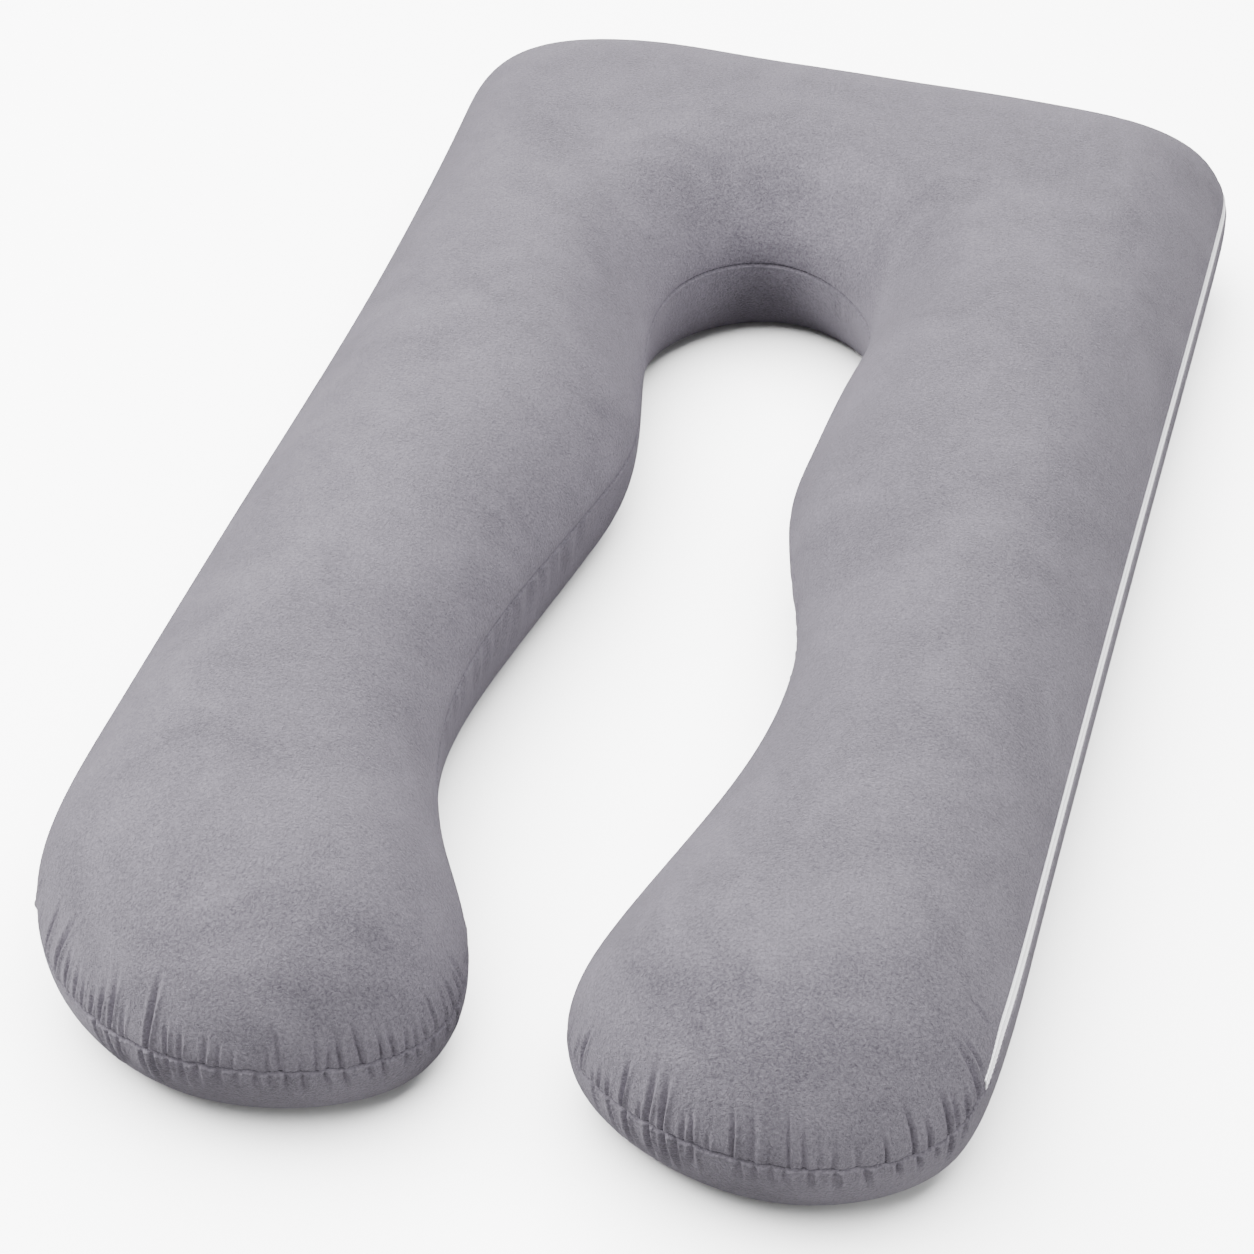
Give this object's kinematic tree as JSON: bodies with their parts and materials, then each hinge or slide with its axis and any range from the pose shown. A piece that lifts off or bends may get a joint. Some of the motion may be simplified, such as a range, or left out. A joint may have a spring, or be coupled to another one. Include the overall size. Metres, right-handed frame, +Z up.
{
  "type": "pregnancy pillow",
  "caption": "U-shaped full-body pregnancy pillow in short velvet: stuffed legs with gathered round ends, a broad head bar, a keyhole gap, an edge seam and a zip down one side.",
  "frame": {"origin": "middle of the plan's bounding box, on the surface that the pillow lies on", "axes": "+X towards the long side with the zip, +Y towards the head bar, +Z up; the legs point to -Y"},
  "size_m": [0.821, 1.4566, 0.2091],
  "materials": {
    "velvet": "short-pile velvet, grey with a lavender cast, matt with a soft mottled nap",
    "zip_tape": "white woven polyester tape with a closed nylon coil"
  },
  "bodies": {
    "root": {"pillow": "velvet", "zip_band": "zip_tape"}
  },
  "joints": []
}
